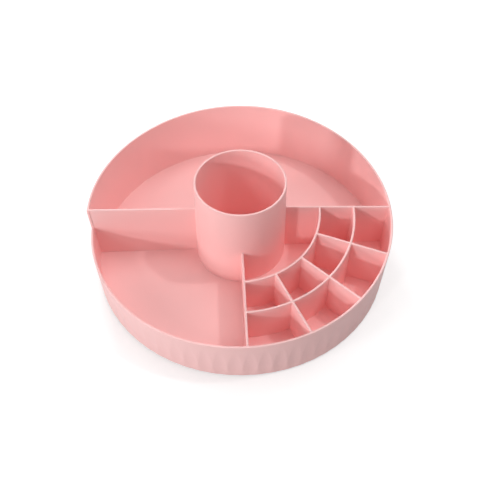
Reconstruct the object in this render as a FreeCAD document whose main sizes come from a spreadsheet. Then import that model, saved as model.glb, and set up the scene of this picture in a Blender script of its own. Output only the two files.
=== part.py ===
import FreeCAD, Part
import Sketcher
import math
import os
from FreeCAD import Vector, Rotation, Placement

# Rotating round makeup organizer. Millimetres and degrees, +Z up.
# Origin: on the turning axis, at the height of the surface it stands on.
# +X points to the right divider, +Y to the back compartment; the rack of small
# cells fills the quadrant between the front divider (-Y) and the right one (+X).

doc = FreeCAD.newDocument("organizer")

# ---------------------------------------------------------------- dimensions
SIZES = [
    # outer wall
    ("skirt_gap", 2.0, "gap between the skirt and the table"),
    ("rim_radius", 125.0, "outside radius of the wall at ref_height"),
    ("ref_height", 59.5, "height where rim_radius holds"),
    ("wall_slope", 0.02968, "outside draft, mm of radius per mm of height"),
    ("wall_thick", 1.7, "wall thickness at ref_height"),
    ("wall_gain", 0.0058, "extra thickness per mm below ref_height"),
    ("blank_top", 66.0, "height of walls before the rim is trimmed"),
    # flutes: shallow scoops, deepest at flute_deep
    ("flute_count", 68, "flutes round the wall"),
    ("flute_radius", 34.6, "radius of the flute cutter"),
    ("flute_depth", 0.5, "greatest flute depth"),
    ("flute_foot", 0.18, "flute depth at the bottom edge"),
    ("flute_deep", 14.0, "height of the greatest depth"),
    ("flute_top", 37.5, "height that the upper slope of the flutes aims at"),
    ("flute_fade", 32.0, "height where the run-out of the flutes begins"),
    ("flute_end", 36.0, "height where the flutes have run out"),
    ("flute_phase", 1.0, "angle of the first flute"),
    ("flute_arc", 18.6, "arc of the cutter that is used"),
    # top edges: one ruled spiral surface, climbing counter-clockwise from the
    # left divider (180) to the same divider again (540). Heights are given on
    # two circles, and run straight between them along every radius.
    ("top_inner", 37.0, "radius of the inner circle of heights"),
    ("top_outer", 124.0, "radius of the outer circle of heights"),
    ("rim_180", 40.5, "height at the wall"),
    ("rim_210", 40.6, "height at the wall"),
    ("rim_240", 41.5, "height at the wall"),
    ("rim_270", 44.0, "height at the wall, front divider"),
    ("rim_300", 45.8, "height at the wall"),
    ("rim_330", 49.1, "height at the wall"),
    ("rim_360", 53.2, "height at the wall, right divider"),
    ("rim_390", 57.4, "height at the wall"),
    ("rim_420", 61.0, "height at the wall"),
    ("rim_450", 62.5, "height at the wall"),
    ("rim_480", 61.8, "height at the wall"),
    ("rim_510", 60.8, "height at the wall"),
    ("rim_540", 61.1, "height at the wall, left divider"),
    ("hub_180", 40.5, "height at the cup"),
    ("hub_210", 40.6, "height at the cup"),
    ("hub_240", 41.5, "height at the cup"),
    ("hub_270", 44.2, "height at the cup, front divider"),
    ("hub_300", 47.5, "height at the cup"),
    ("hub_330", 50.9, "height at the cup"),
    ("hub_360", 57.4, "height at the cup, right divider"),
    ("hub_390", 57.8, "height at the cup"),
    ("hub_420", 58.2, "height at the cup"),
    ("hub_450", 58.5, "height at the cup"),
    ("hub_480", 58.7, "height at the cup"),
    ("hub_510", 58.8, "height at the cup"),
    ("hub_540", 58.8, "height at the cup, left divider"),
    ("step_offset", 0.86, "distance of the step in the rim from the left divider's middle"),
    # floors
    ("floor_under", 6.0, "underside of the tray floor"),
    ("floor_top", 8.0, "top of the tray floor"),
    ("rack_top", 10.0, "top of the raised rack floor and of the cup floor"),
    # centre cup
    ("cup_top", 88.4, "height of the cup rim"),
    ("cup_radius_top", 36.8, "outside radius at the rim"),
    ("cup_radius_base", 37.8, "outside radius at the tray floor"),
    ("cup_wall", 1.7, "wall thickness"),
    ("cup_round", 0.5, "rounding of the cup rim"),
    ("cup_fillet", 2.0, "fillet between the cup's wall and floor"),
    # dividers, ribs and arcs
    ("web_half", 0.85, "half thickness of a divider at web_ref"),
    ("web_ref", 54.0, "height where web_half holds"),
    ("web_slope", 0.00435, "draft of each face of a divider"),
    ("web_length", 130.0, "length of a divider blank"),
    ("arc_inner", 65.1, "centreline radius of the inner arc wall"),
    ("arc_outer", 93.4, "centreline radius of the outer arc wall"),
    ("angle_left", 180.0, "left divider"),
    ("angle_front", 270.0, "front divider"),
    ("angle_rib_one", 337.5, "first rib"),
    ("angle_rib_two", 315.0, "second rib"),
    ("angle_rib_three", 292.5, "third rib"),
    # ball track
    ("track_radius", 80.0, "pitch radius of the balls"),
    ("track_half", 2.3, "half width of each race"),
    ("track_depth", 0.55, "depth of each race"),
    ("ball_radius", 2.0, "ball"),
    ("ball_count", 24, "balls"),
    ("ball_height", 4.5, "height of the ball centres"),
    ("cage_in", 74.0, "inner radius of the cage"),
    ("cage_out", 86.0, "outer radius of the cage"),
    ("cage_low", 3.75, "underside of the cage"),
    ("cage_high", 5.25, "top of the cage"),
    ("pocket_radius", 2.15, "ball pocket in the cage"),
    # base
    ("base_under", 1.0, "underside of the base plate"),
    ("base_top", 3.0, "top of the base plate"),
    ("base_radius", 104.0, "radius of the base plate"),
    ("lip_width", 2.2, "width of the stiffening lip"),
    ("lip_top", 4.4, "top of the stiffening lip"),
    ("hub_radius", 14.5, "outside radius of the bearing hub"),
    ("hub_top", 5.0, "top of the bearing hub"),
    ("web_under", 3.0, "underside of the bearing web"),
    ("recess_radius", 11.5, "recess for the washer and the screw head"),
    ("bearing_radius", 8.05, "bore that the bush turns in"),
    ("foot_radius", 6.0, "rubber foot"),
    ("foot_pitch", 90.0, "pitch radius of the feet"),
    ("foot_seat", 1.2, "top of the feet in their pockets"),
    ("foot_pocket", 6.1, "radius of a foot pocket"),
    ("rib_count", 12, "stiffening ribs under the base plate lip"),
    # pivot
    ("bush_radius", 8.0, "bush"),
    ("bush_flange", 13.0, "bush flange"),
    ("flange_under", 5.05, "underside of the bush flange"),
    ("bush_under", 2.95, "lower end of the bush"),
    ("washer_radius", 10.5, "washer"),
    ("washer_under", 1.95, "underside of the washer"),
    ("screw_clear", 1.95, "clearance hole for the screw"),
    ("screw_radius", 1.75, "screw shank and its pilot hole"),
    ("screw_tip", 9.2, "tip of the screw"),
    ("pilot_end", 9.5, "end of the pilot hole"),
    ("head_radius", 3.6, "screw head"),
    ("head_under", 1.05, "lower face of the screw head"),
    ("drive_width", 0.9, "width of the cross recess"),
    ("drive_length", 3.6, "length of the cross recess"),
    ("drive_depth", 0.5, "depth of the cross recess"),
]
VALUE = {}
sheet = doc.addObject("Spreadsheet::Sheet", "Dims")
sheet.set("A1", "name")
sheet.set("B1", "value")
sheet.set("C1", "meaning")
for row, (alias, number, meaning) in enumerate(SIZES, start=2):
    sheet.set("A%d" % row, alias)
    sheet.set("B%d" % row, repr(number))
    sheet.set("C%d" % row, meaning)
    sheet.setAlias("B%d" % row, alias)
    VALUE[alias] = float(number)
doc.recompute()


class Q:
    """A length: its number and the sheet expression that gives it."""

    def __init__(self, number, text):
        self.n = number
        self.t = text

    @staticmethod
    def of(x):
        return x if isinstance(x, Q) else Q(float(x), "%.9g" % x)

    def __add__(self, o):
        o = Q.of(o)
        return Q(self.n + o.n, "(%s + %s)" % (self.t, o.t))

    def __radd__(self, o):
        return Q.of(o) + self

    def __sub__(self, o):
        o = Q.of(o)
        return Q(self.n - o.n, "(%s - %s)" % (self.t, o.t))

    def __rsub__(self, o):
        return Q.of(o) - self

    def __mul__(self, o):
        o = Q.of(o)
        return Q(self.n * o.n, "(%s * %s)" % (self.t, o.t))

    __rmul__ = __mul__

    def __truediv__(self, o):
        o = Q.of(o)
        return Q(self.n / o.n, "(%s / %s)" % (self.t, o.t))

    def __neg__(self):
        return Q(-self.n, "(0 - %s)" % self.t)


def D(alias):
    return Q(VALUE[alias], "Dims." + alias)


def wall_out(z):
    return D("rim_radius") - (D("ref_height") - z) * D("wall_slope")


def wall_in(z):
    return wall_out(z) - D("wall_thick") - (D("ref_height") - z) * D("wall_gain")


def cup_out(z):
    k = (D("cup_radius_base") - D("cup_radius_top")) / (D("cup_top") - D("floor_top"))
    return D("cup_radius_top") + (D("cup_top") - z) * k


def web(z):
    return D("web_half") + (D("web_ref") - z) * D("web_slope")


# ------------------------------------------------------------------- helpers
def new_body(name):
    body = doc.addObject("PartDesign::Body", name)
    body.Label = name
    return body


def plane(body, role):
    for feature in body.Origin.OriginFeatures:
        if feature.Role == role:
            return feature
    raise RuntimeError("no plane " + role)


def sketch(body, role, name, offset=None):
    sk = body.newObject("Sketcher::SketchObject", name)
    sk.AttachmentSupport = [(plane(body, role), "")]
    sk.MapMode = "FlatFace"
    if offset is not None:
        sk.AttachmentOffset = offset
    return sk


def pin(sk, geo, pos, x, y):
    """Tie a sketch point to (x, y), each a Q, with driven dimensions."""
    for axis, q in (("X", Q.of(x)), ("Y", Q.of(y))):
        if abs(q.n) < 1e-9:
            line = -2 if axis == "X" else -1
            sk.addConstraint(Sketcher.Constraint("PointOnObject", geo, pos, line))
        elif q.n > 0:
            i = sk.addConstraint(Sketcher.Constraint("Distance" + axis, -1, 1, geo, pos, q.n))
            sk.setExpression("Constraints[%d]" % i, q.t)
        else:
            i = sk.addConstraint(Sketcher.Constraint("Distance" + axis, geo, pos, -1, 1, -q.n))
            sk.setExpression("Constraints[%d]" % i, (-q).t)


def polygon(sk, points):
    pts = [(Q.of(x), Q.of(y)) for x, y in points]
    n = len(pts)
    first = sk.GeometryCount
    for i in range(n):
        a, b = pts[i], pts[(i + 1) % n]
        sk.addGeometry(Part.LineSegment(Vector(a[0].n, a[1].n, 0), Vector(b[0].n, b[1].n, 0)), False)
    for i in range(n):
        sk.addConstraint(Sketcher.Constraint("Coincident", first + i, 2, first + (i + 1) % n, 1))
    for i in range(n):
        pin(sk, first + i, 1, *pts[i])


def circle(sk, x, y, r):
    x, y, r = Q.of(x), Q.of(y), Q.of(r)
    g = sk.addGeometry(Part.Circle(Vector(x.n, y.n, 0), Vector(0, 0, 1), r.n), False)
    i = sk.addConstraint(Sketcher.Constraint("Radius", g, r.n))
    sk.setExpression("Constraints[%d]" % i, r.t)
    pin(sk, g, 3, x, y)


def revolve(body, name, points, angle=360.0, role="XZ_Plane"):
    sk = sketch(body, role, name + "_profile")
    polygon(sk, points)
    feat = body.newObject("PartDesign::Revolution", name)
    feat.Profile = sk
    feat.ReferenceAxis = (sk, ["V_Axis"])
    feat.Angle = angle
    body.Tip = feat
    doc.recompute()
    return feat


def groove(body, name, points):
    before = body.Shape.Volume
    sk = sketch(body, "XZ_Plane", name + "_profile")
    polygon(sk, points)
    feat = body.newObject("PartDesign::Groove", name)
    feat.Profile = sk
    feat.ReferenceAxis = (sk, ["V_Axis"])
    feat.Angle = 360.0
    body.Tip = feat
    doc.recompute()
    if not feat.Shape.Volume < before - 1e-3:
        raise RuntimeError(name + " cuts nothing")
    return feat


def pocket(body, name, sk, through=True, depth=None, reverse=False):
    before = body.Shape.Volume
    feat = body.newObject("PartDesign::Pocket", name)
    feat.Profile = sk
    if through:
        feat.Type = "ThroughAll"
        feat.Midplane = True
    else:
        feat.Type = "Length"
        feat.Length = depth.n
        feat.setExpression("Length", depth.t)
        feat.Reversed = reverse
    body.Tip = feat
    doc.recompute()
    if not feat.Shape.Volume < before - 1e-3:
        raise RuntimeError(name + " cuts nothing")
    return feat


def polar(body, name, original, count):
    pattern = body.newObject("PartDesign::PolarPattern", name)
    pattern.Originals = [original]
    pattern.Axis = (plane(body, "Z_Axis"), [""])
    pattern.Angle = 360.0
    pattern.Occurrences = int(round(count.n))
    pattern.setExpression("Occurrences", count.t)
    body.Tip = pattern
    doc.recompute()
    return pattern


def boolean(kind, name, base, tool):
    obj = doc.addObject("Part::" + kind, name)
    obj.Base = base
    obj.Tool = tool
    doc.recompute()
    return obj


def turn(obj, angle):
    obj.Placement = Placement(Vector(0, 0, 0), Rotation(Vector(0, 0, 1), angle.n))
    obj.setExpression("Placement.Rotation.Angle", angle.t)


# ---------------------------------------------------------- spiral top edges
STATIONS = [165] + list(range(180, 541, 30)) + [555]


def station_height(ring, angle):
    return VALUE["%s_%d" % (ring, min(max(angle, 180), 540))]


def spiral_curve(radius):
    """Spiral of the top edges at a radius, with one parameter unit per degree."""
    share = (radius - VALUE["top_inner"]) / (VALUE["top_outer"] - VALUE["top_inner"])
    points = []
    for a in STATIONS:
        inner, outer = station_height("hub", a), station_height("rim", a)
        t = math.radians(a)
        points.append(Vector(radius * math.cos(t), radius * math.sin(t), inner + (outer - inner) * share))
    curve = Part.BSplineCurve()
    curve.interpolate(Points=points, Parameters=[float(a) for a in STATIONS])
    return curve


near_spiral, far_spiral = spiral_curve(30.0), spiral_curve(140.0)


def above_spiral(name, start, end, limit=None):
    """Solid above the ruled spiral surface between two angles."""
    face = Part.makeRuledSurface(
        near_spiral.toShape(float(start), float(end)), far_spiral.toShape(float(start), float(end))
    )
    shape = face.extrude(Vector(0, 0, 60.0))
    if limit is not None:
        shape = shape.common(limit)
    obj = doc.addObject("Part::Feature", name)
    obj.Shape = shape
    return obj


web_trim = above_spiral("web_trim", 255, 555)
high_trim = above_spiral("high_trim", 270, 555)
low_trim = above_spiral(
    "low_trim",
    165,
    270,
    Part.makeBox(300.0, 200.0, 120.0, Vector(-200.0, -200.0 - VALUE["step_offset"], 0.0)),
)

# ---------------------------------------------------------------- outer wall
wall_blank = new_body("outer_wall_blank")
revolve(
    wall_blank,
    "wall_turned",
    [
        (wall_in(D("skirt_gap")), D("skirt_gap")),
        (wall_out(D("skirt_gap")), D("skirt_gap")),
        (wall_out(D("blank_top")), D("blank_top")),
        (wall_in(D("blank_top")), D("blank_top")),
    ],
)
# One flute: part of a leaning cylinder between flute_deep and flute_fade, with
# a cone below that leaves flute_foot of depth and a cone above that runs out.
flute_sk = sketch(
    wall_blank,
    "XZ_Plane",
    "flute_profile",
    Placement(Vector(0, 0, 0), Rotation(Vector(0, 1, 0), VALUE["flute_phase"])),
)
flute_low = D("skirt_gap") - 1.0
flute_high = D("flute_end") + 2.5
lean = D("wall_slope") + D("flute_depth") / (D("flute_top") - D("flute_deep"))
rise = (D("flute_depth") - D("flute_foot")) / (D("flute_deep") - D("skirt_gap"))


def flute_axis(z):
    return (
        wall_out(D("flute_top"))
        + D("flute_radius")
        + (z - D("flute_top")) * lean
    )


def flute_floor(z):
    return flute_axis(z) - D("flute_radius")


ax_low, ax_high = flute_axis(flute_low), flute_axis(flute_high)
fade_slope = (wall_out(D("flute_end")) - flute_floor(D("flute_fade"))) / (D("flute_end") - D("flute_fade"))
head_edge = wall_out(D("flute_end")) + (flute_high - D("flute_end")) * fade_slope
foot_edge = (
    wall_out(flute_low) - D("flute_depth") + (D("flute_deep") - flute_low) * rise
)
polygon(
    flute_sk,
    [
        (ax_low, flute_low),
        (ax_high, flute_high),
        (head_edge, flute_high),
        (flute_floor(D("flute_fade")), D("flute_fade")),
        (flute_floor(D("flute_deep")), D("flute_deep")),
        (foot_edge, flute_low),
    ],
)
axis_line = flute_sk.addGeometry(
    Part.LineSegment(Vector(ax_low.n, flute_low.n, 0), Vector(ax_high.n, flute_high.n, 0)), True
)
flute_sk.addConstraint(Sketcher.Constraint("Coincident", axis_line, 1, 0, 1))
flute_sk.addConstraint(Sketcher.Constraint("Coincident", axis_line, 2, 0, 2))
doc.recompute()
flute = wall_blank.newObject("PartDesign::Groove", "flute")
flute.Profile = flute_sk
flute.ReferenceAxis = (flute_sk, ["Axis0"])
flute.Angle = VALUE["flute_arc"]
flute.setExpression("Angle", "Dims.flute_arc")
flute.Midplane = True
wall_blank.Tip = flute
doc.recompute()
polar(wall_blank, "flutes", flute, D("flute_count"))
wall_high = boolean("Cut", "outer_wall_trimmed", wall_blank, high_trim)
outer_wall = boolean("Cut", "outer_wall", wall_high, low_trim)

# -------------------------------------------------------------------- floors
tray_floor = new_body("tray_floor")
revolve(
    tray_floor,
    "floor_turned",
    [
        (D("screw_radius"), D("floor_under")),
        (wall_in(D("floor_under")), D("floor_under")),
        (wall_in(D("floor_top")), D("floor_top")),
        (D("screw_radius"), D("floor_top")),
    ],
)
groove(
    tray_floor,
    "upper_race",
    [
        (D("track_radius") - D("track_half"), D("floor_under") - 0.5),
        (D("track_radius") + D("track_half"), D("floor_under") - 0.5),
        (D("track_radius") + D("track_half"), D("floor_under") + D("track_depth")),
        (D("track_radius") - D("track_half"), D("floor_under") + D("track_depth")),
    ],
)

rack_blank = new_body("rack_floor_blank")
revolve(
    rack_blank,
    "rack_turned",
    [
        (cup_out(D("floor_top")), D("floor_top")),
        (wall_in(D("floor_top")), D("floor_top")),
        (wall_in(D("rack_top")), D("rack_top")),
        (cup_out(D("rack_top")), D("rack_top")),
    ],
    90.0,
)

# ---------------------------------------------------------------- centre cup
centre_cup = new_body("centre_cup")
revolve(
    centre_cup,
    "cup_turned",
    [
        (0.0, D("floor_top")),
        (cup_out(D("floor_top")), D("floor_top")),
        (D("cup_radius_top"), D("cup_top")),
        (D("cup_radius_top") - D("cup_wall"), D("cup_top")),
        (cup_out(D("rack_top")) - D("cup_wall"), D("rack_top")),
        (0.0, D("rack_top")),
    ],
)
pilot_sk = sketch(centre_cup, "XY_Plane", "pilot_circle")
pilot_sk.AttachmentOffset = Placement(Vector(0, 0, VALUE["floor_top"]), Rotation())
pilot_sk.setExpression("AttachmentOffset.Base.z", "Dims.floor_top")
circle(pilot_sk, 0.0, 0.0, D("screw_radius"))
pocket(centre_cup, "pilot", pilot_sk, False, D("pilot_end") - D("floor_top"), True)


def ring_edges(feature, spots):
    """Names of the circular edges at the given (radius, height) places."""
    names = []
    for i, e in enumerate(feature.Shape.Edges, start=1):
        if not hasattr(e.Curve, "Radius") or not e.isClosed():
            continue
        for r, z in spots:
            if abs(e.Curve.Radius - r) < 1e-3 and abs(e.Curve.Center.z - z) < 1e-3:
                names.append("Edge%d" % i)
    return names


def fillet(body, name, spots, radius):
    base = body.Tip
    names = ring_edges(base, spots)
    if len(names) != len(spots):
        raise RuntimeError("%s found %d edges" % (name, len(names)))
    feat = body.newObject("PartDesign::Fillet", name)
    feat.Base = (base, names)
    feat.Radius = radius.n
    feat.setExpression("Radius", radius.t)
    body.Tip = feat
    doc.recompute()
    return feat


cup_in_base = cup_out(D("rack_top")) - D("cup_wall")
fillet(centre_cup, "cup_floor_fillet", [(cup_in_base.n, VALUE["rack_top"])], D("cup_fillet"))
fillet(
    centre_cup,
    "cup_rim_round",
    [
        (VALUE["cup_radius_top"], VALUE["cup_top"]),
        (VALUE["cup_radius_top"] - VALUE["cup_wall"], VALUE["cup_top"]),
    ],
    D("cup_round"),
)

# --------------------------------------------- dividers, arcs and small ribs
# The ring-shaped space between the cup and the wall, above the tray floor.
space = new_body("compartment_space")
revolve(
    space,
    "space_turned",
    [
        (cup_out(D("floor_top")), D("floor_top")),
        (wall_in(D("floor_top")), D("floor_top")),
        (wall_in(D("blank_top")), D("blank_top")),
        (cup_out(D("blank_top")), D("blank_top")),
    ],
)


def web_blank(name, start, length, bottom, angle):
    """An upright plate with drafted faces, along a radius from start."""
    body = new_body(name)
    sk = sketch(body, "YZ_Plane", name + "_section")
    sk.AttachmentOffset = Placement(Vector(0, 0, start.n), Rotation())
    sk.setExpression("AttachmentOffset.Base.z", start.t)
    polygon(
        sk,
        [
            (-web(bottom), bottom),
            (web(bottom), bottom),
            (web(D("blank_top")), D("blank_top")),
            (-web(D("blank_top")), D("blank_top")),
        ],
    )
    pad = body.newObject("PartDesign::Pad", name + "_pad")
    pad.Profile = sk
    pad.Length = length.n
    pad.setExpression("Length", length.t)
    body.Tip = pad
    if angle is not None:
        turn(body, angle)
    doc.recompute()
    return body


def divider(name, angle):
    blank = web_blank(name + "_blank", D("cup_radius_top") - 5.0, D("web_length") - 36.0, D("floor_top"), angle)
    fitted = boolean("Common", name + "_fitted", blank, space)
    return blank, boolean("Cut", name, fitted, web_trim)


left_blank, left_divider = divider("left_divider", D("angle_left"))
right_blank, right_divider = divider("right_divider", None)
front_blank, front_divider = divider("front_divider", D("angle_front"))


def arc_blank(name, radius):
    body = new_body(name)
    revolve(
        body,
        name + "_turned",
        [
            (radius - web(D("rack_top")), D("rack_top")),
            (radius + web(D("rack_top")), D("rack_top")),
            (radius + web(D("blank_top")), D("blank_top")),
            (radius - web(D("blank_top")), D("blank_top")),
        ],
        90.0,
    )
    return body


def place_sector(body):
    """Turn a quarter sector so that it fills the front-right quadrant."""
    box = body.Shape.BoundBox
    if box.YMin > -1.0:
        turn(body, D("angle_front"))
    doc.recompute()
    box = body.Shape.BoundBox
    if box.XMin < -1.0 or box.YMax > 1.0:
        raise RuntimeError(body.Name + " is in the wrong quadrant")


inner_arc_blank = arc_blank("inner_arc_blank", D("arc_inner"))
outer_arc_blank = arc_blank("outer_arc_blank", D("arc_outer"))
for sector in (inner_arc_blank, outer_arc_blank, rack_blank):
    place_sector(sector)


def between_dividers(name, blank, trim):
    one = boolean("Cut", name + "_one", blank, right_blank)
    two = boolean("Cut", name + "_two" if trim else name, one, front_blank)
    return boolean("Cut", name, two, web_trim) if trim else two


rack_floor = between_dividers("rack_floor", rack_blank, False)
inner_arc_wall = between_dividers("inner_arc_wall", inner_arc_blank, True)
outer_arc_wall = between_dividers("outer_arc_wall", outer_arc_blank, True)

ribs = []
for number, key in ((1, "angle_rib_one"), (2, "angle_rib_two"), (3, "angle_rib_three")):
    name = "mid_rib_%d" % number
    blank = web_blank(name + "_blank", D("arc_inner"), D("arc_outer") - D("arc_inner"), D("rack_top"), D(key))
    cut = boolean("Cut", name + "_in", blank, inner_arc_blank)
    cut = boolean("Cut", name + "_out", cut, outer_arc_blank)
    ribs.append(boolean("Cut", name, cut, web_trim))
for number, key in ((1, "angle_rib_one"), (2, "angle_rib_two"), (3, "angle_rib_three")):
    name = "outer_rib_%d" % number
    blank = web_blank(name + "_blank", D("arc_outer"), D("web_length") - D("arc_outer"), D("rack_top"), D(key))
    fitted = boolean("Common", name + "_fitted", blank, space)
    cut = boolean("Cut", name + "_in", fitted, outer_arc_blank)
    ribs.append(boolean("Cut", name, cut, web_trim))

# ---------------------------------------------------------------------- base
base_plate = new_body("base_plate")
revolve(
    base_plate,
    "base_turned",
    [
        (D("bearing_radius"), D("web_under")),
        (D("recess_radius"), D("web_under")),
        (D("recess_radius"), D("base_under")),
        (D("base_radius"), D("base_under")),
        (D("base_radius"), D("lip_top")),
        (D("base_radius") - D("lip_width"), D("lip_top")),
        (D("base_radius") - D("lip_width"), D("base_top")),
        (D("hub_radius"), D("base_top")),
        (D("hub_radius"), D("hub_top")),
        (D("bearing_radius"), D("hub_top")),
    ],
)
groove(
    base_plate,
    "lower_race",
    [
        (D("track_radius") - D("track_half"), D("base_top") - D("track_depth")),
        (D("track_radius") + D("track_half"), D("base_top") - D("track_depth")),
        (D("track_radius") + D("track_half"), D("base_top") + 0.5),
        (D("track_radius") - D("track_half"), D("base_top") + 0.5),
    ],
)
foot_sk = sketch(base_plate, "XY_Plane", "foot_pocket_circle")
foot_sk.AttachmentOffset = Placement(Vector(0, 0, VALUE["base_under"]), Rotation(Vector(0, 0, 1), 45.0))
foot_sk.setExpression("AttachmentOffset.Base.z", "Dims.base_under")
circle(foot_sk, D("foot_pitch"), 0.0, D("foot_pocket"))
foot_pocket = pocket(base_plate, "foot_pocket", foot_sk, False, D("foot_seat") - D("base_under"), True)
polar(base_plate, "foot_pockets", foot_pocket, Q(4.0, "4"))

feet = []
for k in range(4):
    foot = doc.addObject("Part::Cylinder", "foot_%d" % (k + 1))
    foot.Radius = VALUE["foot_radius"]
    foot.Height = VALUE["foot_seat"]
    foot.setExpression("Radius", "Dims.foot_radius")
    foot.setExpression("Height", "Dims.foot_seat")
    c, s = math.cos(math.radians(45 + 90 * k)), math.sin(math.radians(45 + 90 * k))
    foot.Placement = Placement(Vector(c * VALUE["foot_pitch"], s * VALUE["foot_pitch"], 0), Rotation())
    foot.setExpression("Placement.Base.x", "Dims.foot_pitch * %.12g" % c)
    foot.setExpression("Placement.Base.y", "Dims.foot_pitch * %.12g" % s)
    feet.append(foot)
doc.recompute()
rubber_feet = doc.addObject("Part::Compound", "rubber_feet")
rubber_feet.Links = feet

# --------------------------------------------------------------- ball bearing
ball_cage = new_body("ball_cage")
revolve(
    ball_cage,
    "cage_turned",
    [
        (D("cage_in"), D("cage_low")),
        (D("cage_out"), D("cage_low")),
        (D("cage_out"), D("cage_high")),
        (D("cage_in"), D("cage_high")),
    ],
)
ball_sk = sketch(ball_cage, "XY_Plane", "ball_pocket_circle")
circle(ball_sk, D("track_radius"), 0.0, D("pocket_radius"))
ball_pocket = pocket(ball_cage, "ball_pocket", ball_sk)
polar(ball_cage, "ball_pockets", ball_pocket, D("ball_count"))

balls = []
count = int(VALUE["ball_count"])
for k in range(count):
    ball = doc.addObject("Part::Sphere", "ball_%d" % (k + 1))
    ball.Radius = VALUE["ball_radius"]
    ball.setExpression("Radius", "Dims.ball_radius")
    c, s = math.cos(2 * math.pi * k / count), math.sin(2 * math.pi * k / count)
    ball.Placement = Placement(
        Vector(c * VALUE["track_radius"], s * VALUE["track_radius"], VALUE["ball_height"]), Rotation()
    )
    ball.setExpression("Placement.Base.x", "Dims.track_radius * %.12g" % c)
    ball.setExpression("Placement.Base.y", "Dims.track_radius * %.12g" % s)
    ball.setExpression("Placement.Base.z", "Dims.ball_height")
    balls.append(ball)
doc.recompute()
bearing_balls = doc.addObject("Part::Compound", "bearing_balls")
bearing_balls.Links = balls

# --------------------------------------------------------------------- pivot
pivot_bush = new_body("pivot_bush")
revolve(
    pivot_bush,
    "bush_turned",
    [
        (D("screw_clear"), D("bush_under")),
        (D("bush_radius"), D("bush_under")),
        (D("bush_radius"), D("flange_under")),
        (D("bush_flange"), D("flange_under")),
        (D("bush_flange"), D("floor_under")),
        (D("screw_clear"), D("floor_under")),
    ],
)
retaining_washer = new_body("retaining_washer")
revolve(
    retaining_washer,
    "washer_turned",
    [
        (D("screw_clear"), D("washer_under")),
        (D("washer_radius"), D("washer_under")),
        (D("washer_radius"), D("bush_under")),
        (D("screw_clear"), D("bush_under")),
    ],
)
retaining_screw = new_body("retaining_screw")
revolve(
    retaining_screw,
    "screw_turned",
    [
        (0.0, D("head_under")),
        (D("head_radius") - 0.7, D("head_under")),
        (D("head_radius"), D("washer_under") - 0.35),
        (D("head_radius"), D("washer_under")),
        (D("screw_radius"), D("washer_under")),
        (D("screw_radius"), D("screw_tip") - 1.2),
        (0.3, D("screw_tip")),
        (0.0, D("screw_tip")),
    ],
)
for label, across in (("drive_slot_a", True), ("drive_slot_b", False)):
    slot_sk = sketch(retaining_screw, "XY_Plane", label + "_outline")
    slot_sk.AttachmentOffset = Placement(Vector(0, 0, VALUE["head_under"]), Rotation())
    slot_sk.setExpression("AttachmentOffset.Base.z", "Dims.head_under")
    a = D("drive_length") / 2.0 if across else D("drive_width") / 2.0
    b = D("drive_width") / 2.0 if across else D("drive_length") / 2.0
    polygon(slot_sk, [(-a, -b), (a, -b), (a, b), (-a, b)])
    pocket(retaining_screw, label, slot_sk, False, D("drive_depth"), True)

doc.recompute()

# ------------------------------------------------------------- check and save
NODES = [
    outer_wall,
    tray_floor,
    rack_floor,
    centre_cup,
    left_divider,
    right_divider,
    front_divider,
    inner_arc_wall,
    outer_arc_wall,
] + ribs + [
    pivot_bush,
    retaining_washer,
    retaining_screw,
    base_plate,
    rubber_feet,
    ball_cage,
    bearing_balls,
]
SOLIDS = {"rubber_feet": 4, "bearing_balls": count}

problems = []
for obj in doc.Objects:
    if "Invalid" in obj.State or "Error" in obj.State:
        problems.append("%s is %s" % (obj.Name, obj.State))
for obj in NODES:
    shape = obj.Shape
    if shape.isNull() or not shape.isValid():
        problems.append(obj.Label + " has no valid shape")
        continue
    want = SOLIDS.get(obj.Label, 1)
    if len(shape.Solids) != want:
        problems.append("%s has %d solids, not %d" % (obj.Label, len(shape.Solids), want))
if problems:
    raise RuntimeError("; ".join(problems))

os.makedirs("parts", exist_ok=True)
for obj in NODES:
    obj.Shape.exportStep("parts/%s.step" % obj.Label)
    box = obj.Shape.BoundBox
    print(
        "%-18s %9.1f mm3  x %7.2f..%7.2f  y %7.2f..%7.2f  z %6.2f..%6.2f  faces %d"
        % (obj.Label, obj.Shape.Volume, box.XMin, box.XMax, box.YMin, box.YMax, box.ZMin, box.ZMax, len(obj.Shape.Faces))
    )
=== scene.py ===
import math

import bpy
import numpy as np
from mathutils import Matrix, Vector


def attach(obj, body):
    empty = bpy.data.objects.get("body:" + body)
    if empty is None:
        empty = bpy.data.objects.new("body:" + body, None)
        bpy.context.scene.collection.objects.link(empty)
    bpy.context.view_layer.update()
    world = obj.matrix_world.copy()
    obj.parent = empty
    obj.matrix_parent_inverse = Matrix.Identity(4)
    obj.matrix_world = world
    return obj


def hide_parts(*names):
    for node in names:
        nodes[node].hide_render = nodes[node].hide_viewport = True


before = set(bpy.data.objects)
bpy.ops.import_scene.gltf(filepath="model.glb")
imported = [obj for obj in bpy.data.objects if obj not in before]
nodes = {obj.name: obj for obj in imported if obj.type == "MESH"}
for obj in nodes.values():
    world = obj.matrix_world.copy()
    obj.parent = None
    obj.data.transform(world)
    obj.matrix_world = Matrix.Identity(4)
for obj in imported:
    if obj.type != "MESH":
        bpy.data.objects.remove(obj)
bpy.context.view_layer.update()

# ------------------------------------------------------- the tray's own sizes
# Millimetres here; meshes are written in metres. Same frame as the CAD.
FLOOR, RACK, CUP_TOP, SKIRT = 8.0, 10.0, 88.4, 2.0
SLOPE = 0.02968


def wall_out(z):
    return 125.0 - (59.5 - z) * SLOPE


def wall_in(z):
    return wall_out(z) - 1.7 - (59.5 - z) * 0.0058


def cup_out(z):
    return 36.8 + (CUP_TOP - z) * 1.0 / (CUP_TOP - FLOOR)


def web_half(z):
    return 0.85 + (54.0 - z) * 0.00435


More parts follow.
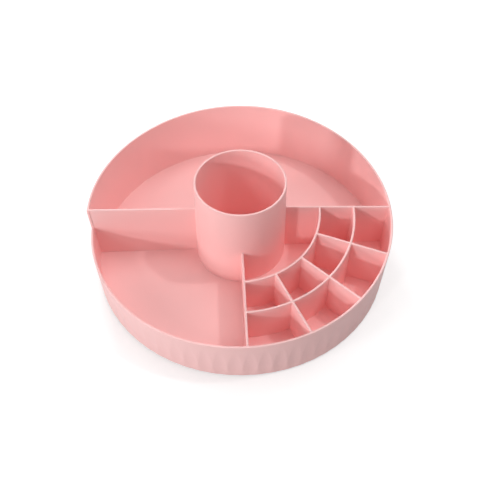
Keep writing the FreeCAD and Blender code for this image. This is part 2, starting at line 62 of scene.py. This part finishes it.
# Heights of the top edges at the wall (radius 124) and at the cup (radius 37):
# one surface that climbs counter-clockwise from the left divider (180) round to
# the same divider again (540), straight along every radius.
KNOT_A = np.array([165.0] + [180.0 + 30.0 * i for i in range(13)] + [555.0])
RIM_Z = np.array([40.5, 40.5, 40.6, 41.5, 44.0, 45.8, 49.1, 53.2, 57.4, 61.0, 62.5, 61.8, 60.8, 61.1, 61.1])
HUB_Z = np.array([40.5, 40.5, 40.6, 41.5, 44.2, 47.5, 50.9, 57.4, 57.8, 58.2, 58.5, 58.7, 58.8, 58.8, 58.8])


def _spline(x, y):
    """Second derivatives of the natural cubic through (x, y)."""
    n = len(x)
    a, b = np.zeros((n, n)), np.zeros(n)
    a[0, 0] = a[-1, -1] = 1.0
    for i in range(1, n - 1):
        g, k = x[i] - x[i - 1], x[i + 1] - x[i]
        a[i, i - 1], a[i, i], a[i, i + 1] = g, 2 * (g + k), k
        b[i] = 6 * ((y[i + 1] - y[i]) / k - (y[i] - y[i - 1]) / g)
    return np.linalg.solve(a, b)


RIM_M, HUB_M = _spline(KNOT_A, RIM_Z), _spline(KNOT_A, HUB_Z)


def _cubic(t, z, m):
    i = np.clip(np.searchsorted(KNOT_A, t) - 1, 0, len(KNOT_A) - 2)
    w = KNOT_A[i + 1] - KNOT_A[i]
    p, q = (KNOT_A[i + 1] - t) / w, (t - KNOT_A[i]) / w
    return p * z[i] + q * z[i + 1] + ((p**3 - p) * m[i] + (q**3 - q) * m[i + 1]) * w * w / 6


def top_edge(angle, radius):
    """Height of the top edges at an angle of 180 to 540 degrees and a radius."""
    t = np.clip(np.asarray(angle, float), 166.0, 554.0)
    hub, rim = _cubic(t, HUB_Z, HUB_M), _cubic(t, RIM_Z, RIM_M)
    return hub + (rim - hub) * (np.asarray(radius, float) - 37.0) / 87.0


def fillet(d, r):
    """Extra thickness at distance d from a surface that a radius r blends into."""
    e = np.clip(r - np.asarray(d, float), 0.0, r)
    return r - np.sqrt(np.maximum(r * r - e * e, 0.0))


# --------------------------------------------------------------- mesh builders
def new_piece(name, verts, faces, sharp=38.0):
    me = bpy.data.meshes.new(name)
    me.from_pydata((np.asarray(verts, float) * 0.001).tolist(), [], faces)
    me.validate()
    ob = bpy.data.objects.new(name, me)
    bpy.context.scene.collection.objects.link(ob)
    for p in me.polygons:
        p.use_smooth = True
    me.set_sharp_from_angle(angle=math.radians(sharp))
    return ob


def grid_faces(rows, cols, close_rows, close_cols, flip=False):
    faces = []
    for i in range(rows if close_rows else rows - 1):
        a, b = i * cols, ((i + 1) % rows) * cols
        for j in range(cols if close_cols else cols - 1):
            k = (j + 1) % cols
            q = (a + j, a + k, b + k, b + j)
            faces.append(q[::-1] if flip else q)
    return faces


def turned_wall(name, angles, profile, flip=False):
    """A closed ring: profile(angle array) gives rows of (radius, height)."""
    t = np.radians(angles)
    rows = profile(angles)
    c, s = np.cos(t), np.sin(t)
    verts = np.concatenate([np.stack([r * c, r * s, z + 0 * c], -1) for r, z in rows])
    return new_piece(name, verts, grid_faces(len(rows), len(angles), True, True, flip))


def quarter(r, n, a0, a1):
    return [(r * math.cos(math.radians(a)), r * math.sin(math.radians(a))) for a in np.linspace(a0, a1, n)]


# ------------------------------------------------------------------ outer wall
FLUTES, PHASE, RHO, FLUTE_TOP = 68, 1.0, 34.6, 37.5
DEEP_Z, DEEP, FOOT = 13.5, 0.66, 0.16


def flute_depth(z):
    """Depth of a flute at its middle: a shallow scoop, deepest at DEEP_Z."""
    up = DEEP * (FLUTE_TOP - z) / (FLUTE_TOP - DEEP_Z)
    down = FOOT + (DEEP - FOOT) * (z - SKIRT) / (DEEP_Z - SKIRT)
    k = 0.16
    h = np.clip(0.5 + 0.5 * (up - down) / k, 0.0, 1.0)
    d = up * (1 - h) + down * h - k * h * (1 - h)
    e = 0.03
    return 0.5 * (d + np.sqrt(d * d + e * e)) - 0.5 * e


def fluted(angle, z):
    """Outside radius with the flutes, at angles (array) and one height."""
    base = wall_out(z)
    pitch = 360.0 / FLUTES
    phi = np.radians((angle - PHASE + pitch / 2) % pitch - pitch / 2)
    a = base + RHO - flute_depth(z)
    hit = a * np.cos(phi) - np.sqrt(np.maximum(RHO * RHO - (a * np.sin(phi)) ** 2, 0.0))
    k = 0.07
    w = np.clip(0.5 + 0.5 * (hit - base) / k, 0.0, 1.0)
    return hit * (1 - w) + base * w - k * w * (1 - w)


STEP = 180.0 + math.degrees(math.asin(0.86 / 124.5))


def wall_height(angle):
    """Rim height all the way round, with the step at the left divider rounded."""
    a = np.asarray(angle, float) % 360.0
    turn = np.where(a < STEP, a + 360.0, a)
    out = top_edge(turn, 124.0)
    s = (a - STEP) * 124.5 * math.pi / 180.0          # grows from the high side to the low side
    hi, lo = float(top_edge(540.0, 124.0)), float(top_edge(180.0, 124.0))
    out = np.where((s > -0.6) & (s <= 0.0), hi - fillet(-s, 0.6), out)
    return np.where((s > 0.0) & (s < 0.72), lo + fillet(s - 0.02, 0.7), out)


def floor_height(angle):
    a = (np.asarray(angle, float) + 90.0) % 360.0
    return np.where((a > 0.0) & (a < 90.0), RACK, FLOOR)


def outer_wall():
    n = FLUTES * 18
    base = PHASE + np.arange(n) * 360.0 / n
    mm = 180.0 / math.pi / 124.5
    extra = [
        STEP + x * mm
        for x in (-0.62, -0.5, -0.38, -0.26, -0.16, -0.09, -0.04, -0.01, 0.0, 0.02, 0.03, 0.06, 0.12, 0.2, 0.3, 0.42, 0.56, 0.74)
    ]
    keep = [x for x in (base % 360.0) if abs(x - STEP) > 0.9 * mm]
    angles = np.array(sorted(keep + [e % 360.0 for e in extra]))
    high = wall_height(angles)
    fl = floor_height(angles)

    def profile(a):
        rows = []
        e = 0.35
        for x, y in quarter(e, 5, -90, 0):                       # bottom outside edge
            z = SKIRT + e + y
            rows.append((fluted(a, z) - e + x, z))
        for z in np.linspace(3.2, 39.0, 34):
            rows.append((fluted(a, z), z + 0 * a))
        r = 0.55
        for k in np.linspace(0.12, 1.0, 8):
            z = 39.0 + (high - r - 39.0) * k
            rows.append((wall_out(z), z))
        for x, y in quarter(r, 6, 0, 90)[1:]:                     # rim, outside edge
            rows.append((wall_out(high) - r + x, high - r + y))
        for x, y in quarter(r, 6, 90, 180):                       # rim, inside edge
            rows.append((wall_in(high) + r + x, high - r + y))
        f = 0.3
        for k in np.linspace(0.08, 1.0, 9):
            z = high - r + (fl + f - high + r) * k
            rows.append((wall_in(z), z))
        for g in (0.5, 0.2, 0.05, 0.0):                           # fillet into the floor
            z = fl + f * g
            rows.append((wall_in(z) - fillet(f * g, f), z))
        rows.append((wall_in(fl) - f, fl - 0.12))
        rows.append((wall_in(fl) - 0.12, fl - 0.5))
        rows.append((wall_in(6.0) - 0.12, 5.9 + 0 * a))
        rows.append((wall_in(SKIRT + e) + 0 * a, SKIRT + e + 0 * a))
        for x, y in quarter(e, 4, 180, 270)[1:]:
            rows.append((wall_in(SKIRT) + e + x + 0 * a, SKIRT + e + y + 0 * a))
        return rows

    return turned_wall("tray_outer_wall", angles, profile)


# ------------------------------------------------------------------ centre cup
def centre_cup():
    n = 384
    angles = np.arange(n) * 360.0 / n
    fl = floor_height(angles)
    t = np.radians(angles)
    rows = []
    wall, e, f, g = 1.7, 0.5, 0.3, 2.0
    rows.append((cup_out(fl) + f, fl - 0.12))
    for k in (0.0, 0.05, 0.2, 0.5, 1.0):
        z = fl + f * k
        rows.append((cup_out(z) + fillet(f * k, f), z))
    for k in np.linspace(0.06, 1.0, 16):
        z = fl + f + (CUP_TOP - e - fl - f) * k
        rows.append((cup_out(z), z))
    for x, y in quarter(e, 6, 0, 90)[1:]:
        rows.append((cup_out(CUP_TOP) - e + x + 0 * t, CUP_TOP - e + y + 0 * t))
    for x, y in quarter(e, 6, 90, 180):
        rows.append((cup_out(CUP_TOP) - wall + e + x + 0 * t, CUP_TOP - e + y + 0 * t))
    for z in np.linspace(CUP_TOP - 4.0, RACK + g, 16):
        rows.append((cup_out(z) - wall + 0 * t, z + 0 * t))
    for x, y in quarter(g, 8, 0, -90)[1:]:
        rows.append((cup_out(RACK) - wall - g + x + 0 * t, RACK + g + y + 0 * t))
    for r in (24.0, 12.0, 3.0):
        rows.append((r + 0 * t, RACK + 0 * t))
    c, s = np.cos(t), np.sin(t)
    verts = np.concatenate([np.stack([r * c, r * s, z + 0 * c], -1) for r, z in rows])
    faces = grid_faces(len(rows), n, False, True, False)
    top = len(verts)
    bottom_ring = np.stack([(cup_out(FLOOR) - 0.5) * c, (cup_out(FLOOR) - 0.5) * s, FLOOR - 0.12 + 0 * c], -1)
    verts = np.concatenate([verts, bottom_ring, [[0, 0, RACK]], [[0, 0, FLOOR - 0.12]]])
    last = (len(rows) - 1) * n
    for j in range(n):
        k = (j + 1) % n
        faces.append((last + j, last + k, top + n))
        faces.append((k, j, top + j, top + k))
        faces.append((top + k, top + j, top + n + 1))
    return new_piece("tray_centre_cup", verts, faces)


# ----------------------------------------------------------- dividers and ribs
def web(name, place, length, height, base, ends, spacing=1.6, reach=None):
    """An upright wall with drafted faces, a rounded top edge and moulded fillets.

    place(s) gives the centre line point and its left-hand normal, height(s) the
    top, and ends = (gap(s, z), gap(s, z)) the distance to the surface that each
    end runs into. reach(z) is the length at a height, where the far end leans."""
    near = list(np.arange(0.0, 4.2, 0.15))
    mid = list(np.linspace(4.2, length - 4.2, max(2, int(length / spacing))))
    s = np.array(near + mid[1:-1] + [length - x for x in near[::-1]]) if length > 10 else np.linspace(0, length, 24)
    top = height(s) - 0.02
    r = 0.5
    side = []
    f = 0.3
    for z in (base - 0.12, base, base + 0.05 * f, base + 0.2 * f, base + 0.5 * f, base + f):
        side.append(z + 0 * s)
    for k in np.linspace(0.0, 1.0, 9)[1:]:
        side.append(base + f + (top - r - base - f) * k)

    def along(z):
        return s if reach is None else s * reach(z) / length

    def half(z):
        t = web_half(z) + fillet(z - base, f)
        for gap in ends:
            t = t + fillet(gap(along(z), z), 0.45)
        return t

    rows = [(half(z), z) for z in side]
    for x, y in quarter(r, 5, 0, 90)[1:]:
        z = top - r + y
        rows.append((half(np.minimum(z, top - r)) - r + x, z))
    n_half = len(rows)
    rows = rows + [(-h, z) for h, z in rows[::-1]]
    verts = []
    for h, z in rows:
        p, nrm = place(along(z))
        verts.append(np.concatenate([p + nrm * np.asarray(h)[:, None], np.asarray(z)[:, None]], 1))
    verts = np.concatenate(verts)
    cols = len(s)
    faces = grid_faces(len(rows), cols, True, False, True)
    faces.append([i * cols for i in range(len(rows))][::-1])
    faces.append([i * cols + cols - 1 for i in range(len(rows))])
    return new_piece(name, verts, faces)


def radial(angle):
    c, s = math.cos(math.radians(angle)), math.sin(math.radians(angle))

    def place(start):
        def at(x):
            r = start + x
            return np.stack([r * c, r * s], -1), np.stack([-s + 0 * x, c + 0 * x], -1)
        return at
    return place


def divider(name, angle, base):
    start, end = cup_out(CUP_TOP) - 0.3, wall_in(62.0) + 0.5
    ends = (
        lambda s, z: start + s - cup_out(z),
        lambda s, z: wall_in(z) - (start + s),
    )
    height = lambda s: top_edge(angle, start + s)
    return web(name, radial(angle)(start), end - start, height, base, ends, reach=lambda z: wall_in(z) + 0.5 - start)


def arc(name, radius):
    a0, a1 = -90.0, 0.0
    length = radius * math.pi / 2

    def place(s):
        t = math.radians(a0) + s / radius
        return np.stack([radius * np.cos(t), radius * np.sin(t)], -1), np.stack([-np.cos(t), -np.sin(t)], -1)

    ends = (
        lambda s, z: s - web_half(z),
        lambda s, z: (length - s) - web_half(z),
    )
    return web(name, place, length, lambda s: top_edge(270.0 + np.degrees(s / radius), radius), RACK, ends)


def rib(name, angle, r0, r1):
    outer = r1 > 110
    start, end = r0, (wall_in(62.0) + 0.5 if outer else r1)
    reach = (lambda z: wall_in(z) + 0.5 - start) if outer else None
    ends = (
        lambda s, z: start + s - r0 - web_half(z),
        (lambda s, z: wall_in(z) - (start + s)) if outer else (lambda s, z: r1 - web_half(z) - (start + s)),
    )
    height = lambda s: top_edge(360.0 + angle, start + s)
    return web(name, radial(angle)(start), end - start, height, RACK, ends, 1.2, reach)


# -------------------------------------------------------------------- materials
def material(name, low, high, rough, noise_scale, bump, bump_scale, ior=1.46, sss=0.0, coat=0.0, metal=0.0, swirl=0.0):
    """Moulded plastic and the like: slow colour drift, uneven gloss, fine skin."""
    m = bpy.data.materials.new(name)
    m.use_nodes = True
    nt = m.node_tree
    nt.nodes.clear()
    out = nt.nodes.new("ShaderNodeOutputMaterial")
    bs = nt.nodes.new("ShaderNodeBsdfPrincipled")
    nt.links.new(bs.outputs[0], out.inputs[0])
    bs.inputs["IOR"].default_value = ior
    bs.inputs["Metallic"].default_value = metal
    if coat:
        bs.inputs["Coat Weight"].default_value = coat
        bs.inputs["Coat Roughness"].default_value = 0.18
    if sss:
        bs.inputs["Subsurface Weight"].default_value = sss
        bs.inputs["Subsurface Radius"].default_value = (1.0, 0.42, 0.38)
        bs.inputs["Subsurface Scale"].default_value = 0.0022
    co = nt.nodes.new("ShaderNodeTexCoord")
    n1 = nt.nodes.new("ShaderNodeTexNoise")
    n1.inputs["Scale"].default_value = noise_scale
    n1.inputs["Detail"].default_value = 3.0
    n1.inputs["Distortion"].default_value = swirl
    nt.links.new(co.outputs["Object"], n1.inputs["Vector"])
    ramp = nt.nodes.new("ShaderNodeValToRGB")
    ramp.color_ramp.elements[0].position = 0.3
    ramp.color_ramp.elements[1].position = 0.7
    ramp.color_ramp.elements[0].color = (*low, 1.0)
    ramp.color_ramp.elements[1].color = (*high, 1.0)
    nt.links.new(n1.outputs["Fac"], ramp.inputs["Fac"])
    nt.links.new(ramp.outputs["Color"], bs.inputs["Base Color"])
    n2 = nt.nodes.new("ShaderNodeTexNoise")
    n2.inputs["Scale"].default_value = noise_scale * 7.0
    n2.inputs["Detail"].default_value = 4.0
    nt.links.new(co.outputs["Object"], n2.inputs["Vector"])
    rr = nt.nodes.new("ShaderNodeMapRange")
    rr.inputs["From Min"].default_value = 0.3
    rr.inputs["From Max"].default_value = 0.7
    rr.inputs["To Min"].default_value = rough[0]
    rr.inputs["To Max"].default_value = rough[1]
    nt.links.new(n2.outputs["Fac"], rr.inputs["Value"])
    nt.links.new(rr.outputs["Result"], bs.inputs["Roughness"])
    n3 = nt.nodes.new("ShaderNodeTexNoise")
    n3.inputs["Scale"].default_value = bump_scale
    n3.inputs["Detail"].default_value = 2.0
    nt.links.new(co.outputs["Object"], n3.inputs["Vector"])
    bm = nt.nodes.new("ShaderNodeBump")
    bm.inputs["Strength"].default_value = bump
    bm.inputs["Distance"].default_value = 0.0002
    nt.links.new(n3.outputs["Fac"], bm.inputs["Height"])
    nt.links.new(bm.outputs["Normal"], bs.inputs["Normal"])
    return m


PINK = material("moulded_pink", (0.962, 0.589, 0.577), (0.974, 0.601, 0.589), (0.36, 0.44), 22.0, 0.10, 2600.0)
BASE = material("base_pink", (0.86, 0.47, 0.46), (0.89, 0.50, 0.49), (0.46, 0.56), 30.0, 0.25, 1800.0)
ACETAL = material("acetal_white", (0.80, 0.79, 0.75), (0.86, 0.85, 0.82), (0.35, 0.5), 60.0, 0.15, 1500.0)
STEEL = material("bright_steel", (0.60, 0.60, 0.61), (0.72, 0.72, 0.74), (0.14, 0.26), 160.0, 0.05, 3000.0, metal=1.0)
RUBBER = material("foot_rubber", (0.50, 0.48, 0.47), (0.58, 0.56, 0.55), (0.72, 0.86), 220.0, 0.6, 3200.0)


def paint(ob, mat):
    ob.data.materials.clear()
    ob.data.materials.append(mat)


made = {
    "outer_wall": outer_wall(),
    "centre_cup": centre_cup(),
    "left_divider": divider("tray_left_divider", 540.0, FLOOR),
    "right_divider": divider("tray_right_divider", 360.0, FLOOR),
    "front_divider": divider("tray_front_divider", 270.0, FLOOR),
    "inner_arc_wall": arc("tray_inner_arc", 65.1),
    "outer_arc_wall": arc("tray_outer_arc", 93.4),
}
for i, a in enumerate((-22.5, -45.0, -67.5), start=1):
    made["mid_rib_%d" % i] = rib("tray_mid_rib_%d" % i, a, 65.1, 93.4)
    made["outer_rib_%d" % i] = rib("tray_outer_rib_%d" % i, a, 93.4, 121.0)
for node, ob in made.items():
    paint(ob, PINK)
    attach(ob, "tray")
    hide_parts(node)
for node in ("tray_floor", "rack_floor"):
    paint(nodes[node], PINK)
paint(nodes["base_plate"], BASE)
for node in ("pivot_bush", "ball_cage"):
    paint(nodes[node], ACETAL)
for node in ("retaining_washer", "retaining_screw", "bearing_balls"):
    paint(nodes[node], STEEL)
paint(nodes["rubber_feet"], RUBBER)

# ----------------------------------------------------------------------- stage
me = bpy.data.meshes.new("floor")
me.from_pydata([(-6, -6, 0), (6, -6, 0), (6, 6, 0), (-6, 6, 0)], [], [(0, 1, 2, 3)])
floor = bpy.data.objects.new("floor", me)
bpy.context.scene.collection.objects.link(floor)
fm = bpy.data.materials.new("pale_floor")
fm.use_nodes = True
fb = fm.node_tree.nodes["Principled BSDF"]
fb.inputs["Base Color"].default_value = (0.6, 0.6, 0.6, 1)
fb.inputs["Roughness"].default_value = 0.7
fb.inputs["Specular IOR Level"].default_value = 0.2
fb.inputs["Emission Color"].default_value = (1, 1, 1, 1)
glow = fm.node_tree.nodes.new("ShaderNodeMapRange")        # a white sweep, brighter than the light it gives
glow.inputs["To Min"].default_value, glow.inputs["To Max"].default_value = 0.08, 0.5
seen = fm.node_tree.nodes.new("ShaderNodeLightPath")
fm.node_tree.links.new(seen.outputs["Is Camera Ray"], glow.inputs["Value"])
fm.node_tree.links.new(glow.outputs["Result"], fb.inputs["Emission Strength"])
floor.data.materials.append(fm)

# ---------------------------------------------------------------------- camera
TURN = math.radians(1.88)
ELEV, ROLL = math.radians(49.94), math.radians(-0.56)
eye = Vector((-0.64, -384.86, 474.33)) * 0.001
fwd = Vector((0, math.cos(ELEV), -math.sin(ELEV)))
right = Vector((1, 0, 0))
up = right.cross(fwd)
r2 = right * math.cos(ROLL) + up * math.sin(ROLL)
u2 = -right * math.sin(ROLL) + up * math.cos(ROLL)
turn = Matrix.Rotation(-TURN, 3, "Z")
cam_data = bpy.data.cameras.new("camera")
cam = bpy.data.objects.new("camera", cam_data)
bpy.context.scene.collection.objects.link(cam)
m = Matrix((turn @ r2, turn @ u2, turn @ -fwd)).transposed().to_4x4()
m.translation = turn @ eye
cam.matrix_world = m
cam_data.sensor_width = 36.0
cam_data.lens = 691.37 * 36.0 / 480.0
cam_data.clip_start, cam_data.clip_end = 0.01, 50.0
bpy.context.scene.camera = cam

# ---------------------------------------------------------------------- lights
world = bpy.data.worlds.new("studio")
world.use_nodes = True
world.node_tree.nodes["Background"].inputs[0].default_value = (1, 1, 1, 1)
dome = world.node_tree.nodes.new("ShaderNodeMapRange")        # seen: the same tone as the far floor
dome.inputs["To Min"].default_value, dome.inputs["To Max"].default_value = 0.27, 0.66
ray = world.node_tree.nodes.new("ShaderNodeLightPath")
world.node_tree.links.new(ray.outputs["Is Camera Ray"], dome.inputs["Value"])
world.node_tree.links.new(dome.outputs["Result"], world.node_tree.nodes["Background"].inputs[1])
bpy.context.scene.world = world


def area(name, azimuth, elevation, distance, size, power, colour=(1, 1, 1)):
    """A square soft box; azimuth counter-clockwise from +X, looking at the tray."""
    d = bpy.data.lights.new(name, "AREA")
    d.shape = "SQUARE"
    d.size = size
    d.energy = power
    d.color = colour
    o = bpy.data.objects.new(name, d)
    a, e = math.radians(azimuth), math.radians(elevation)
    at = Vector((math.cos(a) * math.cos(e), math.sin(a) * math.cos(e), math.sin(e))) * distance
    o.location = at + Vector((0, 0, 0.03))
    o.rotation_mode = "QUATERNION"
    o.rotation_quaternion = at.to_track_quat("Z", "Y")
    bpy.context.scene.collection.objects.link(o)
    return o


area("key", 212.0, 38.0, 2.0, 0.4, 4.6)
area("key_low", 231.0, 18.0, 2.0, 0.12, 8.6)
area("left", 205.0, 10.0, 2.0, 0.3, 8.8)
area("right", 0.0, 61.0, 2.0, 0.12, 6.0)
area("right_back", 40.0, 54.0, 2.0, 0.6, 3.9)
area("top_right", 0.0, 75.0, 2.0, 0.8, 4.5)
area("top_back", 120.0, 75.0, 2.0, 0.8, 5.0)
area("back", 105.0, 15.0, 2.0, 0.5, 22.8)
cycles = bpy.context.scene.cycles
cycles.max_bounces, cycles.diffuse_bounces, cycles.glossy_bounces = 16, 12, 4
bpy.context.scene.view_settings.view_transform = "Standard"
